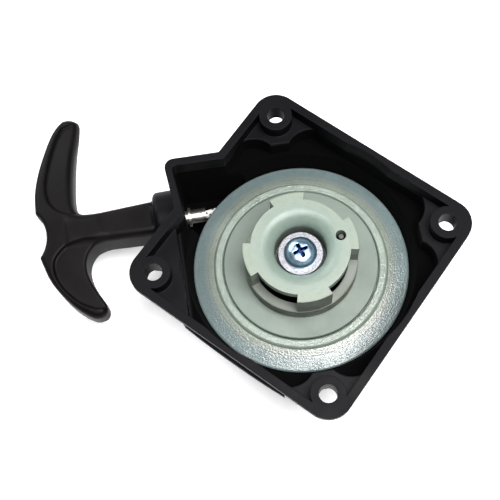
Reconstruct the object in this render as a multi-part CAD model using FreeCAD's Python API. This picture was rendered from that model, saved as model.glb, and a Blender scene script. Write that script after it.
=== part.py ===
"""Easy-start recoil starter for a small two-stroke engine, with its rope, handle and two springs.

Frame, in millimetres: the origin is the centre of the four mounting holes, on the mounting face.
+Z points out of the open side, towards the engine, and the rope is pulled along -X.
The starter lies on the flat back of its housing, below the origin.
"""
import math
import os

import FreeCAD
import Part
from FreeCAD import Vector

# ---- mounting face -------------------------------------------------------------------------
HOLE_SPACING = 65.0            # side of the square on which the four holes lie
HOLE_R = 2.8
BOSS_R = 5.3                   # ring round each hole
FLANGE_HALF = 40.0             # half the side of the square flange
FLANGE_CORNER_R = 7.6
RIM_WALL = 2.7
RIM_HEIGHT = 7.0
LIP_HEIGHT = 2.4               # the rim's outer lip; the wall under it stands further in
LIP_OVERHANG = 1.3
PAD_DEPTH = 5.0                # corner webs lie this far under the mounting face
PAD_EDGE = 38.2                # distance of the webs' inner edges from the axis
HOLE_CIRCLE_R = HOLE_SPACING / math.sqrt(2)
CORNER_DEGREES = (0, 90, 180, 270)
WINDOW_BOTTOM_Z = -12.0        # the opening between the webs is cut down to here
WINDOW_STRAIGHT_X = -37.7      # straight edge of the opening, on the pull side
WINDOW_LOBE_R = 8.0            # waves of the opening on both sides of three bosses
WINDOW_LOBE_AT = 33.4
WINDOW_LOBE_OFFSET = 9.5
SKIRT_BOTTOM_Z = -14.0
SKIRT_REACH = 42.0             # half width of the collar that walls the opening
SKIRT_STRAIGHT_X = -40.1
LEDGE_FROM = (-39.2, -17.4)    # ends of the bowed ledge beside the flange
LEDGE_TO = (-12.6, -44.0)
LEDGE_BOW = 0.6
GUSSET_T = 1.8
GUSSET_OFFSET = 4.3            # each rib's distance from the corner's diagonal
GUSSET_OUTLINE = ((36.0, -6.5), (49.0, -6.5), (37.5, -17.0), (34.5, -17.0))

# ---- bowl ----------------------------------------------------------------------------------
BOWL_IN_R = 38.2               # inside radius level with the webs
BOWL_OUT_R = 39.9
BOWL_IN_TAPER = 0.19           # radius lost per millimetre of depth
BOWL_OUT_TAPER = 0.184
BACK_Z = -42.0                 # flat outer back
FLOOR_Z = -39.6                # inner floor
BACK_EDGE_R = 4.0
BACK_RECESS_R = (13.0, 25.0)   # shallow ring recess in the back
BACK_RECESS_DEPTH = 0.8
VENT_COUNT = 19
VENT_WIDTH = 3.0
VENT_TOP_Z = -28.0
VENT_BOTTOM_Z = -36.5
VENT_FIRST_DEG = -158.0
VENT_STEP_DEG = 12.6
VENT_START_R = 28.0
VENT_LENGTH = 14.0

# ---- rope line, outlet and extension of the housing ---------------------------------------
ROPE_D = 2.8
ROPE_Y = 25.5
ROPE_Z = -24.0
OUTLET_R = 10.2                # round boss that the handle seats in
OUTLET_FACE_X = -45.2
OUTLET_ROOT_X = -30.0
OUTLET_EDGE_R = 1.8
SEAT_R = 8.2
SEAT_DEPTH = 3.6
EXT_LEFT_TOP = (-38.4, 36.9)   # outer corners of the rope extension, seen from the engine
EXT_LEFT_LOW = (-36.7, 19.0)
EXT_RIGHT_TOP = (-11.0, 36.2)  # behind the flange, where the extension runs into the bowl
EXT_RIGHT_LOW = (-6.0, 18.0)
EXT_WALL = 2.5
EXT_BOTTOM_Z = -35.5
EXT_FLOOR_T = 2.2
EXT_CORNER_R = 3.0

# ---- centre post and its fastener ---------------------------------------------------------
POST_R = 6.0
POST_TOP_Z = -7.2
INSERT_R = 3.6
INSERT_LENGTH = 12.0
SCREW_R = 2.5
SCREW_LENGTH = 14.0
SCREW_HEAD_R = 5.2
SCREW_HEAD_H = 3.1
SCREW_HEAD_SIDE_H = 1.1        # straight part of the head, under its dome
SCREW_CROWN_R = 1.8            # flat in the middle of the head
SCREW_TIP_H = 1.2
SCREW_TIP_R = 1.6
SCREW_HOLE_FIT = 0.2
INSERT_GROOVE_Z = (-13.8, -12.6)
INSERT_GROOVE_DEPTH = 0.4
CROSS_TURN_DEG = 18
CROSS_HALF_LENGTH = 2.9
CROSS_HALF_WIDTH = 0.62
CROSS_DEPTH = 1.7
CROSS_CORE_R = 1.5
CROSS_CORE_DEPTH = 2.3
WASHER_R = 7.2
WASHER_T = 1.2
WASHER_EDGE = 0.2
WASHER_HOLE_FIT = 0.25

# ---- reel ----------------------------------------------------------------------------------
RUN_FIT = 0.08                 # radial running fit on the post
GAP = 0.3                      # clearance between parts that turn past each other
REEL_R = 35.1
REEL_EDGE_Z = -18.9
REEL_TOP_PLATE = 1.5
REEL_BEAD_Z = -16.1
REEL_BEAD_OUT_R = 28.3
DRUM_R = 20.0
DRUM_BORE_R = 17.5
GROOVE_TOP_Z = REEL_EDGE_Z - REEL_TOP_PLATE
GROOVE_BOTTOM_Z = -28.4
LOWER_FLANGE_R = 32.6
LOWER_FLANGE_Z = -30.2
CHAMBER_FLOOR_Z = -27.5
SLEEVE_R = 8.2
REEL_FOOT_Z = FLOOR_Z + GAP
REEL_BEVEL = 0.4
REEL_SLOPE_H = 1.6             # rise of the skirt from the reel's edge to the bead
KNOT_AT_R = 17.0               # the rope's knotted end, in its pocket in the reel
KNOT_AT_DEG = 215.0
LIGHTENING_COUNT = 8
LIGHTENING_R = 1.6
LIGHTENING_AT = 13.0
LIGHTENING_DEPTH = 1.0

# ---- drive cam -----------------------------------------------------------------------------
CAM_DISC_R = 25.0
CAM_DISC_Z = -15.7
CAM_DISC_T = 1.9
COLLAR_R = 18.2
COLLAR_BORE_R = 15.2
COLLAR_TOP_Z = -9.7
LUG_R = 18.0
LUG_WIDTH_DEG = 36.0
LUG_FIRST_DEG = 4.6
CAM_RIM_Z = 0.75
CAM_RIM_H = 3.0
CAM_RIM_R = 15.5
CAM_THROAT_R = 8.25
CAM_MOUTH_BEND_R = 4.4         # bell-mouth from the rim down into the throat
CAM_GROOVE_Z = -11.2           # bottom of the groove between the seat and the throat
CAM_SEAT_R = 7.35
CAM_SEAT_Z = POST_TOP_Z - GAP
CAM_SLEEVE_R = 9.8
CAM_SLEEVE_FOOT_Z = CAM_DISC_Z - CAM_DISC_T + 1.6
CAM_SLEEVE_TOP_Z = -12.5
CAM_BEVEL = 0.3
HOOK_HOLE_R = 1.65
HOOK_HOLE_AT = 12.9            # radius on which the spring's hook comes up
HOOK_HOLE_DEG = 6.0

# ---- springs -------------------------------------------------------------------------------
ASSIST_WIRE_D = 1.8
ASSIST_PITCH = 1.85
ASSIST_TURNS = 12
ASSIST_BOTTOM_Z = CHAMBER_FLOOR_Z + GAP + 0.2
REWIND_T = 0.5
REWIND_H = 7.0
REWIND_Z = FLOOR_Z + 0.1
REWIND_IN_R = 9.6
REWIND_TURNS = 7
REWIND_PITCH = 1.85
SPRING_WALL_IN_R = 23.6
SPRING_WALL_T = 1.5
SPRING_WALL_H = 8.0

# ---- wound rope ----------------------------------------------------------------------------
WOUND_R = 26.0
LEAD_R = 27.8                  # radius on which the rope leaves the reel
LEAD_START_X = -28.2           # inner end of the rope guide
LEAD_Z = -22.3
KNOT_R = 2.8

# ---- rope guide ----------------------------------------------------------------------------
GUIDE_BORE_R = 1.8
GUIDE_R = 2.3
GUIDE_FLANGE_R = 3.3
GUIDE_FLANGE_T = 0.8

# ---- handle --------------------------------------------------------------------------------
HANDLE_HALF_T = 6.8            # half thickness at the middle
HANDLE_TIP_HALF_T = 3.7        # half thickness at the tips of the arms
HANDLE_CORNER_R = 1.5
HANDLE_EDGE_R = 0.8
STEM_HALF_T = 6.5
STEM_ROOT_X = -70.0
STEM_ROOT_HALF_W = 4.9         # half width where the stem leaves the crossbar
STEM_FACE_X = OUTLET_FACE_X - GAP
STEM_FACE_HALF_W = 6.1         # half width at the shoulder in front of the outlet
STEM_CORNER_R = 2.6
PLUG_R = 7.6                   # round end that sits in the outlet's seat
PLUG_END_X = OUTLET_FACE_X + SEAT_DEPTH - GAP
STEM_ROOT_HALF_Y = 3.6         # half width at which the outline leaves the crossbar for the stem
STEM_ROOT_LINE_X = -62.0
HANDLE_Y_RANGE = (-7.0, 29.0, 72.0)
HANDLE_BEHIND_X = -95.0        # a plane behind the whole handle
ROPE_HOLE_FIT = 0.4
NOTCH_X = -81.9
KNOT_POCKET_R = 4.6
KNOT_POCKET_END_X = -72.5
KNOT_WASHER_T = 1.0

Z_AXIS = Vector(0, 0, 1)


def cylinder(radius, bottom, top, x=0.0, y=0.0):
    """Upright cylinder between two heights."""
    return Part.makeCylinder(radius, top - bottom, Vector(x, y, bottom), Z_AXIS)


def tube_x(radius, x_from, x_to):
    """Cylinder along the rope line, from one x to a larger one."""
    return Part.makeCylinder(radius, x_to - x_from, Vector(x_from, ROPE_Y, ROPE_Z), Vector(1, 0, 0))


def revolve(points):
    """Solid of revolution about Z from (radius, z) corners."""
    corners = [Vector(r, 0, z) for r, z in points]
    face = Part.Face(Part.makePolygon(corners + corners[:1]))
    return face.revolve(Vector(0, 0, 0), Z_AXIS, 360)


def prism(wire, bottom, top):
    """Upright solid over a flat closed wire drawn at z = 0."""
    solid = Part.Face(wire).extrude(Vector(0, 0, top - bottom))
    solid.translate(Vector(0, 0, bottom))
    return solid


def upright_edges(solid, near=None):
    """Vertical edges of a prism, all of them or only the one nearest to a point (x, y)."""
    edges = [e for e in solid.Edges if abs(e.tangentAt(e.FirstParameter).z) > 0.99]
    if near is None:
        return edges

    def distance(edge):
        middle = edge.CenterOfMass
        return math.hypot(middle.x - near[0], middle.y - near[1])

    return [min(edges, key=distance)]


def diamond(half, corner_r, bottom, top):
    """Rounded square prism with its corners on the X and Y axes."""
    box = Part.makeBox(2 * half, 2 * half, top - bottom, Vector(-half, -half, bottom))
    box = box.makeFillet(corner_r, upright_edges(box))
    box.rotate(Vector(0, 0, 0), Z_AXIS, 45)
    return box


def polar(radius, degrees, z=0.0):
    """Point at a radius and angle about the axis."""
    angle = math.radians(degrees)
    return Vector(radius * math.cos(angle), radius * math.sin(angle), z)


def sector(inner, outer, bottom, top, start_deg, width_deg):
    """Part of a ring between two radii, two heights and two angles."""
    ring = Part.makeCylinder(outer, top - bottom, Vector(0, 0, bottom), Z_AXIS, width_deg)
    ring.rotate(Vector(0, 0, 0), Z_AXIS, start_deg)
    return ring.cut(cylinder(inner, bottom - 1, top + 1))


def one_solid(shape):
    """The single solid of a boolean result, without seams inside flat faces."""
    solids = shape.removeSplitter().Solids
    if len(solids) != 1:
        raise RuntimeError("expected one solid, found %d" % len(solids))
    return solids[0]


# ---- housing -------------------------------------------------------------------------------
def bowl_radius(z, inside):
    """Radius of the tapered bowl wall at a height."""
    depth = -z - PAD_DEPTH
    if inside:
        return BOWL_IN_R - BOWL_IN_TAPER * depth
    return BOWL_OUT_R - BOWL_OUT_TAPER * depth


def bowl_outside():
    """Tapered drum closed by the flat back, with a rounded back edge."""
    drum = revolve([(0, -PAD_DEPTH), (bowl_radius(-PAD_DEPTH, False), -PAD_DEPTH),
                    (bowl_radius(BACK_Z, False), BACK_Z), (0, BACK_Z)])
    back_edges = []
    for edge in drum.Edges:
        if abs(edge.BoundBox.ZMax - BACK_Z) < 0.01 and edge.BoundBox.XLength > 1:
            back_edges.append(edge)
    return drum.makeFillet(BACK_EDGE_R, back_edges[:1])


def bowl_inside():
    """Space in the bowl, from its floor up through the mounting face."""
    return revolve([(0, 1), (BOWL_IN_R, 1), (BOWL_IN_R, -PAD_DEPTH),
                    (bowl_radius(FLOOR_Z, True), FLOOR_Z), (0, FLOOR_Z)])


def extension_wire(inset):
    """Outline of the rope extension: a box corner that stands out beyond one side of the flange."""
    left_top = Vector(EXT_LEFT_TOP[0] + inset, EXT_LEFT_TOP[1] - inset, 0)
    left_low = Vector(EXT_LEFT_LOW[0] + inset, EXT_LEFT_LOW[1] - inset, 0)
    right_top = Vector(EXT_RIGHT_TOP[0] - inset, EXT_RIGHT_TOP[1] - inset, 0)
    right_low = Vector(EXT_RIGHT_LOW[0] - inset, EXT_RIGHT_LOW[1], 0)
    return Part.makePolygon([left_top, right_top, right_low, left_low, left_top])


def extension(inset, bottom, top):
    """Prism of the rope extension, smaller by the inset, with its free corner rounded."""
    solid = prism(extension_wire(inset), bottom, top)
    corner = (EXT_LEFT_TOP[0] + inset, EXT_LEFT_TOP[1] - inset)
    radius = EXT_CORNER_R if inset == 0 else EXT_CORNER_R / 2
    return solid.makeFillet(radius, upright_edges(solid, corner))


def web_window():
    """Opening between the corner webs, straight on one side and waved round three bosses."""
    limit = diamond(FLANGE_HALF - RIM_WALL, FLANGE_CORNER_R - RIM_WALL, WINDOW_BOTTOM_Z, 1)
    window = Part.makeBox(PAD_EDGE - WINDOW_STRAIGHT_X, 2 * PAD_EDGE, 1 - WINDOW_BOTTOM_Z,
                          Vector(WINDOW_STRAIGHT_X, -PAD_EDGE, WINDOW_BOTTOM_Z))
    for corner_deg in (0, 90, 270):
        for offset in (-WINDOW_LOBE_OFFSET, WINDOW_LOBE_OFFSET):
            lobe = cylinder(WINDOW_LOBE_R, WINDOW_BOTTOM_Z, 1, WINDOW_LOBE_AT, offset)
            lobe.rotate(Vector(0, 0, 0), Z_AXIS, corner_deg)
            window = window.fuse(lobe)
    return window.common(limit)


def skirt():
    """Collar under the flange that gives the waved window its walls."""
    half = FLANGE_HALF - LIP_OVERHANG
    limit = diamond(half, FLANGE_CORNER_R - LIP_OVERHANG, SKIRT_BOTTOM_Z, -PAD_DEPTH)
    block = Part.makeBox(SKIRT_REACH - SKIRT_STRAIGHT_X, 2 * SKIRT_REACH, -PAD_DEPTH - SKIRT_BOTTOM_Z,
                         Vector(SKIRT_STRAIGHT_X, -SKIRT_REACH, SKIRT_BOTTOM_Z))
    return limit.common(block)


def side_ledge():
    """Shallow bowed lip that stands out from the side opposite the pull."""
    start = Vector(LEDGE_FROM[0], LEDGE_FROM[1], 0)
    end = Vector(LEDGE_TO[0], LEDGE_TO[1], 0)
    middle = (start + end) * 0.5 + Vector(-1, -1, 0).normalize() * LEDGE_BOW
    inner = Vector(-PAD_EDGE / 2, -PAD_EDGE / 2, 0)
    bow = Part.Arc(start, middle, end).toShape()
    wire = Part.Wire([bow, Part.makeLine(end, inner), Part.makeLine(inner, start)])
    return prism(wire, -RIM_HEIGHT, -PAD_DEPTH)


def vents():
    """Air slots through the lower bowl wall, all round but for the rope extension."""
    corner = Vector(VENT_START_R, -VENT_WIDTH / 2, VENT_BOTTOM_Z)
    slots = []
    for index in range(VENT_COUNT):
        slot = Part.makeBox(VENT_LENGTH, VENT_WIDTH, VENT_TOP_Z - VENT_BOTTOM_Z, corner)
        slot.rotate(Vector(0, 0, 0), Z_AXIS, VENT_FIRST_DEG + VENT_STEP_DEG * index)
        slots.append(slot)
    return slots


def corner_gussets():
    """Pairs of ribs on the back of each corner web, from the flange to the bowl."""
    ribs = []
    for corner_deg in CORNER_DEGREES:
        for side in (-GUSSET_OFFSET, GUSSET_OFFSET):
            outline = [Vector(x, side - GUSSET_T / 2, z) for x, z in GUSSET_OUTLINE]
            face = Part.Face(Part.makePolygon(outline + outline[:1]))
            rib = face.extrude(Vector(0, GUSSET_T, 0))
            rib.rotate(Vector(0, 0, 0), Z_AXIS, corner_deg)
            ribs.append(rib)
    return ribs


def ring(inner, outer, bottom, top):
    """Upright tube between two radii and two heights."""
    return cylinder(outer, bottom, top).cut(cylinder(inner, bottom - 1, top + 1))


def flange_plate():
    """Square plate with a raised rim; the rim's top lip stands out over its wall."""
    wall_half = FLANGE_HALF - LIP_OVERHANG
    plate = diamond(FLANGE_HALF, FLANGE_CORNER_R, -LIP_HEIGHT, 0)
    plate = plate.fuse(diamond(wall_half, FLANGE_CORNER_R - LIP_OVERHANG, -RIM_HEIGHT, 0))
    return plate.cut(diamond(FLANGE_HALF - RIM_WALL, FLANGE_CORNER_R - RIM_WALL, -PAD_DEPTH, 1))


def outlet_boss():
    """Round boss on the rope line, with its outer edge rounded."""
    boss = tube_x(OUTLET_R, OUTLET_FACE_X, OUTLET_ROOT_X)
    rims = [e for e in boss.Edges if abs(e.BoundBox.XMax - OUTLET_FACE_X) < 0.01]
    return boss.makeFillet(OUTLET_EDGE_R, rims)


def make_housing():
    """Moulded housing: flange with rim, webs and bosses, bowl, rope extension, outlet and post."""
    shell = flange_plate()
    outside = [bowl_outside(), skirt(), side_ledge(), extension(0, EXT_BOTTOM_Z, 0)]
    outside.append(outlet_boss())
    shell = shell.fuse(outside + corner_gussets())
    hollow = bowl_inside().fuse([web_window(), extension(EXT_WALL, EXT_BOTTOM_Z + EXT_FLOOR_T, 1)])
    shell = shell.cut(hollow)

    holes = [polar(HOLE_CIRCLE_R, corner_deg) for corner_deg in CORNER_DEGREES]
    additions = [cylinder(BOSS_R, -RIM_HEIGHT, 0, spot.x, spot.y) for spot in holes]
    additions.append(cylinder(POST_R, FLOOR_Z - 1, POST_TOP_Z))
    wall_out = SPRING_WALL_IN_R + SPRING_WALL_T
    additions.append(ring(SPRING_WALL_IN_R, wall_out, FLOOR_Z - 1, FLOOR_Z + SPRING_WALL_H))
    shell = shell.fuse(additions)

    cuts = vents() + [cylinder(HOLE_R, BACK_Z, 1, spot.x, spot.y) for spot in holes]
    cuts.append(tube_x(GUIDE_R, OUTLET_FACE_X, OUTLET_ROOT_X))
    cuts.append(tube_x(SEAT_R, OUTLET_FACE_X - 1, OUTLET_FACE_X + SEAT_DEPTH))
    recess_in, recess_out = BACK_RECESS_R
    cuts.append(ring(recess_in, recess_out, BACK_Z - 1, BACK_Z + BACK_RECESS_DEPTH))
    cuts.append(cylinder(INSERT_R, POST_TOP_Z - INSERT_LENGTH, 0))
    cuts.append(cylinder(SCREW_R + SCREW_HOLE_FIT, POST_TOP_Z - SCREW_LENGTH - 2, 0))
    return one_solid(shell.cut(cuts))


# ---- centre fastener -----------------------------------------------------------------------
def make_post_insert():
    """Brass insert in the top of the post, bored to the screw's size."""
    body = ring(SCREW_R, INSERT_R, POST_TOP_Z - INSERT_LENGTH, POST_TOP_Z)
    groove_bottom, groove_top = INSERT_GROOVE_Z
    groove = ring(INSERT_R - INSERT_GROOVE_DEPTH, INSERT_R + 1, groove_bottom, groove_top)
    return one_solid(body.cut(groove))


def make_retaining_washer():
    """Wide washer that holds the cam and the reel on the post."""
    bottom = POST_TOP_Z
    disc = cylinder(WASHER_R, bottom, bottom + WASHER_T)
    disc = disc.makeChamfer(WASHER_EDGE, [e for e in disc.Edges if e.BoundBox.ZLength < 0.01])
    return one_solid(disc.cut(cylinder(SCREW_R + WASHER_HOLE_FIT, bottom - 1, bottom + WASHER_T + 1)))


def make_retaining_screw():
    """Pan-head screw with a cross recess."""
    seat = POST_TOP_Z + WASHER_T
    top = seat + SCREW_HEAD_H
    tip = POST_TOP_Z - SCREW_LENGTH
    profile = [Vector(0, 0, top), Vector(0, 0, tip), Vector(SCREW_TIP_R, 0, tip),
               Vector(SCREW_R, 0, tip + SCREW_TIP_H), Vector(SCREW_R, 0, seat),
               Vector(SCREW_HEAD_R, 0, seat), Vector(SCREW_HEAD_R, 0, seat + SCREW_HEAD_SIDE_H)]
    profile.insert(0, Vector(SCREW_CROWN_R, 0, top))
    edges = [Part.makeLine(a, b) for a, b in zip(profile, profile[1:])]
    drop = SCREW_HEAD_H - SCREW_HEAD_SIDE_H
    run = SCREW_HEAD_R - SCREW_CROWN_R
    bend = (run ** 2 + drop ** 2) / (2 * drop)
    middle = polar(bend, 90 - math.degrees(math.asin(run / bend)) / 2)
    shoulder = Vector(SCREW_CROWN_R + middle.x, 0, top - bend + middle.y)
    edges.append(Part.Arc(profile[-1], shoulder, profile[0]).toShape())
    body = Part.Face(Part.Wire(edges)).revolve(Vector(0, 0, 0), Z_AXIS, 360)
    cuts = [Part.makeCone(CROSS_HALF_WIDTH / 2, CROSS_CORE_R, CROSS_CORE_DEPTH,
                          Vector(0, 0, top - CROSS_CORE_DEPTH), Z_AXIS)]
    for turn in (CROSS_TURN_DEG, CROSS_TURN_DEG + 90):
        arm = Part.makeBox(2 * CROSS_HALF_LENGTH, 2 * CROSS_HALF_WIDTH, SCREW_HEAD_H,
                           Vector(-CROSS_HALF_LENGTH, -CROSS_HALF_WIDTH, top - CROSS_DEPTH))
        arm.rotate(Vector(0, 0, 0), Z_AXIS, turn)
        cuts.append(arm)
    return one_solid(body.cut(cuts))


# ---- reel ----------------------------------------------------------------------------------
def make_reel():
    """Nylon reel: two flanges, rope drum, chamber for the assist spring and a sleeve on the post."""
    bore = POST_R + RUN_FIT
    web_z = CAM_DISC_Z - CAM_DISC_T - GAP
    sleeve_top = web_z + 1
    recess_r = CAM_DISC_R + GAP
    bevel = REEL_BEVEL
    body = revolve([
        (bore, REEL_FOOT_Z), (SLEEVE_R, REEL_FOOT_Z), (SLEEVE_R, LOWER_FLANGE_Z),
        (LOWER_FLANGE_R, LOWER_FLANGE_Z), (LOWER_FLANGE_R, GROOVE_BOTTOM_Z + bevel),
        (WOUND_R, GROOVE_BOTTOM_Z), (DRUM_R, GROOVE_BOTTOM_Z), (DRUM_R, GROOVE_TOP_Z),
        (REEL_R - bevel, GROOVE_TOP_Z), (REEL_R, GROOVE_TOP_Z + bevel), (REEL_R, REEL_EDGE_Z - bevel),
        (REEL_R - bevel, REEL_EDGE_Z), (REEL_BEAD_OUT_R, REEL_EDGE_Z + REEL_SLOPE_H),
        (REEL_BEAD_OUT_R - bevel, REEL_BEAD_Z - bevel), (REEL_BEAD_OUT_R - 2 * bevel, REEL_BEAD_Z),
        (recess_r + bevel, REEL_BEAD_Z), (recess_r, REEL_BEAD_Z - bevel), (recess_r, web_z),
        (DRUM_BORE_R, web_z), (DRUM_BORE_R, CHAMBER_FLOOR_Z), (SLEEVE_R, CHAMBER_FLOOR_Z),
        (SLEEVE_R, sleeve_top), (bore, sleeve_top)])
    cuts = [cylinder(KNOT_R + GAP, ROPE_Z - KNOT_R - GAP, sleeve_top)]
    cuts[0].translate(polar(KNOT_AT_R, KNOT_AT_DEG))
    for index in range(LIGHTENING_COUNT):
        spot = polar(LIGHTENING_AT, 360 / LIGHTENING_COUNT * index)
        cuts.append(cylinder(LIGHTENING_R, LOWER_FLANGE_Z - 1, LOWER_FLANGE_Z + LIGHTENING_DEPTH,
                             spot.x, spot.y))
    return one_solid(body.cut(cuts))


def wrap_profile(inner, turn_x, first_z, pitch, count):
    """Closed outline of stacked round turns: straight inside, one arc for each turn outside."""
    top_z = first_z - pitch * (count - 0.5)
    bottom_z = first_z + pitch / 2
    start = Vector(turn_x, 0, bottom_z)
    edges = [Part.makeLine(Vector(inner, 0, bottom_z), start)]
    for index in range(count):
        upper = bottom_z - pitch * index
        middle = Vector(turn_x + pitch / 2, 0, upper - pitch / 2)
        end = Vector(turn_x, 0, upper - pitch)
        edges.append(Part.Arc(start, middle, end).toShape())
        start = end
    edges.append(Part.makeLine(start, Vector(inner, 0, top_z)))
    edges.append(Part.makeLine(Vector(inner, 0, top_z), Vector(inner, 0, bottom_z)))
    return Part.Wire(edges)


def make_rope_coil():
    """The rope's wound turns as one ring with a turn-by-turn outer surface."""
    space = GROOVE_TOP_Z - GROOVE_BOTTOM_Z - 0.4
    count = int(space / ROPE_D) + 1
    pitch = space / count
    wire = wrap_profile(DRUM_R + 0.05, WOUND_R - pitch / 2, GROOVE_TOP_Z - 0.2 - pitch / 2, pitch, count)
    return Part.Face(wire).revolve(Vector(0, 0, 0), Z_AXIS, 360)


def knot(centre, along):
    """Tight stopper knot: a ball with a band round it."""
    ball = Part.makeSphere(KNOT_R, centre)
    band = Part.makeTorus(KNOT_R - 1.0, 1.1, centre, along)
    return one_solid(ball.fuse(band))


def make_reel_knot():
    """Knot that holds the rope's end in the reel's pocket."""
    return knot(polar(KNOT_AT_R, KNOT_AT_DEG, ROPE_Z), Z_AXIS)


# ---- drive cam and assist spring -----------------------------------------------------------
def cup_section():
    """Half section of the cam's cup: sleeve on the post, washer seat, throat and bell mouth."""
    bore = POST_R + RUN_FIT
    bend = CAM_MOUTH_BEND_R
    bend_r = CAM_THROAT_R + bend
    bend_z = CAM_RIM_Z - bend
    rim_under = CAM_RIM_Z - CAM_RIM_H
    middle = polar(bend, 135)
    mouth = Part.Arc(Vector(bend_r, 0, CAM_RIM_Z), Vector(bend_r + middle.x, 0, bend_z + middle.y),
                     Vector(CAM_THROAT_R, 0, bend_z))
    corners = [(CAM_THROAT_R, bend_z), (CAM_THROAT_R, CAM_GROOVE_Z), (CAM_SEAT_R, CAM_GROOVE_Z),
               (CAM_SEAT_R, CAM_SEAT_Z), (bore, CAM_SEAT_Z), (bore, CAM_SLEEVE_FOOT_Z),
               (CAM_SLEEVE_R, CAM_SLEEVE_FOOT_Z), (CAM_SLEEVE_R, CAM_SLEEVE_TOP_Z)]
    inside = [Vector(r, 0, z) for r, z in corners]
    root_r = COLLAR_BORE_R - 3 * CAM_BEVEL
    rim = [Vector(root_r, 0, rim_under), Vector(CAM_RIM_R, 0, rim_under),
           Vector(CAM_RIM_R, 0, CAM_RIM_Z), Vector(bend_r, 0, CAM_RIM_Z)]
    shoulder = Vector(CAM_SLEEVE_R + 1.1, 0, bend_z - 2)
    under = Part.Arc(inside[-1], shoulder, rim[0])
    edges = [mouth.toShape(), under.toShape()]
    for chain in (inside, rim):
        edges += [Part.makeLine(a, b) for a, b in zip(chain, chain[1:])]
    return Part.Face(Part.Wire(Part.__sortEdges__(edges)))


def make_drive_cam():
    """Drive cam: disc, collar, four lugs and a cup whose rim takes the assist spring's hook."""
    disc_bottom = CAM_DISC_Z - CAM_DISC_T
    base = revolve([(COLLAR_BORE_R, disc_bottom), (CAM_DISC_R, disc_bottom),
                    (CAM_DISC_R, CAM_DISC_Z - CAM_BEVEL), (CAM_DISC_R - CAM_BEVEL, CAM_DISC_Z),
                    (COLLAR_R, CAM_DISC_Z), (COLLAR_R, COLLAR_TOP_Z), (COLLAR_BORE_R, COLLAR_TOP_Z)])
    pieces = [cup_section().revolve(Vector(0, 0, 0), Z_AXIS, 360)]
    for corner_deg in CORNER_DEGREES:
        start = LUG_FIRST_DEG + corner_deg - LUG_WIDTH_DEG / 2
        pieces.append(sector(COLLAR_BORE_R, LUG_R, CAM_DISC_Z - CAM_BEVEL, CAM_RIM_Z, start, LUG_WIDTH_DEG))
    cam = base.fuse(pieces)
    hook = polar(HOOK_HOLE_AT, HOOK_HOLE_DEG)
    hole_bottom = CAM_RIM_Z - 2 * CAM_RIM_H
    return one_solid(cam.cut(cylinder(HOOK_HOLE_R, hole_bottom, CAM_RIM_Z + 1, hook.x, hook.y)))


def make_assist_spring():
    """Close-wound torsion spring with an end that comes up through the cam's rim."""
    radius = ASSIST_WIRE_D / 2
    top_z = ASSIST_BOTTOM_Z + ASSIST_PITCH * ASSIST_TURNS
    wire = wrap_profile(HOOK_HOLE_AT - radius, HOOK_HOLE_AT, top_z - ASSIST_PITCH / 2,
                        ASSIST_PITCH, ASSIST_TURNS)
    coil = Part.Face(wire).revolve(Vector(0, 0, 0), Z_AXIS, 360)
    hook = polar(HOOK_HOLE_AT, HOOK_HOLE_DEG)
    end = cylinder(radius, top_z - ASSIST_PITCH, CAM_RIM_Z - 2 * GAP, hook.x, hook.y)
    return one_solid(coil.fuse(end))


# ---- rewind spring -------------------------------------------------------------------------
def make_rewind_spring():
    """Flat spiral strip on the housing floor, its outer end against the spring wall."""
    outer_side = []
    inner_side = []
    for half_turn in range(2 * REWIND_TURNS):
        sign = 1 if half_turn % 2 == 0 else -1
        start_r = REWIND_IN_R + REWIND_PITCH * half_turn / 2
        end_r = start_r + REWIND_PITCH / 2
        centre_x = sign * (start_r - end_r) / 2
        for side, shift in ((outer_side, REWIND_T), (inner_side, 0)):
            radius = (start_r + end_r) / 2 + shift
            arc = Part.Arc(Vector(centre_x + sign * radius, 0, 0), Vector(centre_x, sign * radius, 0),
                           Vector(centre_x - sign * radius, 0, 0))
            side.append(arc.toShape())
    inner_ends = [inner_side[0].Vertexes[0].Point, inner_side[-1].Vertexes[-1].Point]
    outer_ends = [outer_side[0].Vertexes[0].Point, outer_side[-1].Vertexes[-1].Point]
    caps = [Part.makeLine(a, b) for a, b in zip(inner_ends, outer_ends)]
    wire = Part.Wire(Part.__sortEdges__(outer_side + inner_side + caps))
    return prism(wire, REWIND_Z, REWIND_Z + REWIND_H)


# ---- rope, guide and handle ----------------------------------------------------------------
def make_rope_guide():
    """Flanged metal tube pressed through the wall of the outlet."""
    flange_x = EXT_LEFT_LOW[0] + EXT_WALL + RUN_FIT
    body = tube_x(GUIDE_R, OUTLET_FACE_X + SEAT_DEPTH, LEAD_START_X)
    body = body.fuse(tube_x(GUIDE_FLANGE_R, flange_x, flange_x + GUIDE_FLANGE_T))
    return one_solid(body.cut(tube_x(GUIDE_BORE_R, OUTLET_FACE_X, LEAD_START_X + 1)))


def make_rope_lead():
    """Rope from the guide to the point where it meets the wound turns."""
    start = Vector(LEAD_START_X + GAP, ROPE_Y, ROPE_Z)
    reach = math.hypot(start.x, start.y)
    heading = math.atan2(-start.y, -start.x) + math.asin(LEAD_R / reach)
    length = math.sqrt(reach ** 2 - LEAD_R ** 2)
    end = Vector(start.x + length * math.cos(heading), start.y + length * math.sin(heading), LEAD_Z)
    return Part.makeCylinder(ROPE_D / 2, (end - start).Length, start, end - start)


def make_rope_run():
    """Straight rope from the inner end of the guide to the knot in the handle."""
    return tube_x(ROPE_D / 2, KNOT_POCKET_END_X - KNOT_WASHER_T, LEAD_START_X)


def make_handle_knot():
    """Knot behind the washer in the handle."""
    centre = Vector(KNOT_POCKET_END_X - KNOT_WASHER_T - KNOT_R, ROPE_Y, ROPE_Z)
    return knot(centre, Vector(1, 0, 0))


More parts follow.
